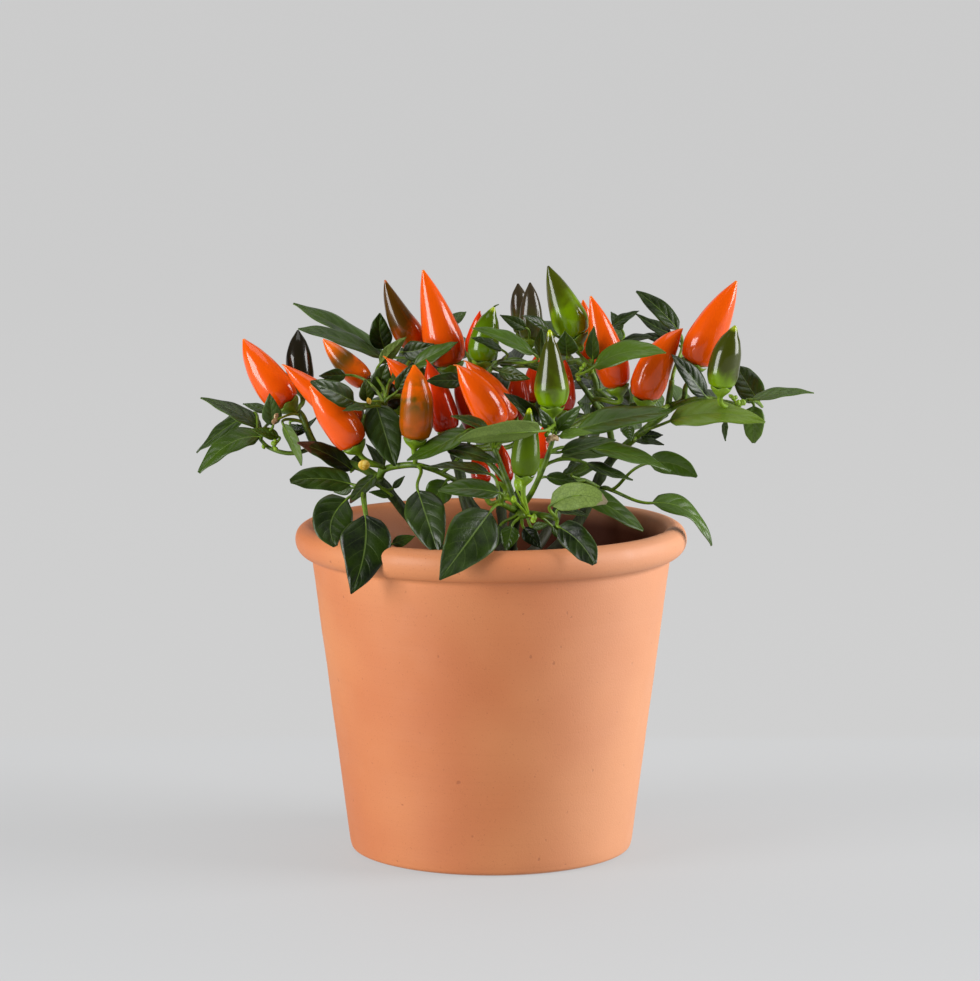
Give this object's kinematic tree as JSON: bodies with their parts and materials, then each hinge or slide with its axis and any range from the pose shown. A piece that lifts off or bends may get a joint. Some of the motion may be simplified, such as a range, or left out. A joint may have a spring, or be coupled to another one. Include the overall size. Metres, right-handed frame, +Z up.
{
  "type": "potted ornamental chilli pepper plant",
  "caption": "Potted ornamental chilli pepper plant with upright conical peppers ripening from dark green to orange and red, in a plain terracotta pot with a rolled lip.",
  "frame": {"origin": "on the pot's axis at the flat underside of the pot, which rests on the surface", "axes": "+Z up, +X to the right and -Y to the front, as the plant is seen"},
  "size_m": [0.2658, 0.2229, 0.2561],
  "materials": {
    "terracotta": "unglazed fired clay, matt, warm orange-brown",
    "soil": "moist dark potting soil, matt and crumbly",
    "stem": "green to brown woody chilli stem, satin",
    "leaf": "dark green chilli leaf with lighter veins and paler underside, soft sheen",
    "pepper_orange": "glossy ripe orange chilli skin",
    "pepper_amber": "glossy amber chilli skin turning orange",
    "pepper_red": "glossy deep red ripe chilli skin",
    "pepper_brown": "glossy brown half-ripe chilli skin",
    "pepper_green": "glossy fresh green unripe chilli skin",
    "pepper_dark_green": "glossy dark green unripe chilli skin",
    "pepper_pale_green": "glossy pale yellow-green unripe chilli skin",
    "pepper_olive": "glossy olive-purple chilli skin",
    "pepper_black": "glossy near-black purple chilli skin"
  },
  "bodies": {
    "root": {"pot": "terracotta", "soil": "soil", "stem": "stem", "spray_left": "leaf", "spray_upper_left": "leaf", "spray_upper": "leaf", "spray_front": "leaf", "spray_centre": "leaf", "spray_middle": "leaf", "spray_front_right": "leaf", "spray_right_low": "leaf", "spray_right": "leaf", "spray_far_right": "leaf", "spray_back_left": "leaf", "spray_back": "leaf", "spray_back_right": "leaf", "pepper_01": "pepper_orange", "pepper_02": "pepper_orange", "pepper_03": "pepper_orange", "pepper_04": "pepper_black", "pepper_05": "pepper_amber", "pepper_06": "pepper_brown", "pepper_07": "pepper_orange", "pepper_08": "pepper_orange", "pepper_09": "pepper_amber", "pepper_10": "pepper_red", "pepper_11": "pepper_red", "pepper_12": "pepper_orange", "pepper_13": "pepper_orange", "pepper_14": "pepper_red", "pepper_15": "pepper_green", "pepper_16": "pepper_red", "pepper_17": "pepper_olive", "pepper_18": "pepper_olive", "pepper_19": "pepper_dark_green", "pepper_20": "pepper_orange", "pepper_21": "pepper_dark_green", "pepper_22": "pepper_red", "pepper_23": "pepper_orange", "pepper_24": "pepper_orange", "pepper_25": "pepper_orange", "pepper_26": "pepper_dark_green", "pepper_27": "pepper_pale_green", "pepper_28": "pepper_red", "pepper_29": "pepper_red", "pepper_30": "pepper_red", "pepper_31": "pepper_black", "pepper_32": "pepper_red", "pepper_33": "pepper_orange", "pepper_34": "pepper_orange", "pepper_35": "pepper_dark_green", "pepper_36": "pepper_red", "pepper_37": "pepper_orange", "pepper_38": "pepper_orange"}
  },
  "joints": []
}
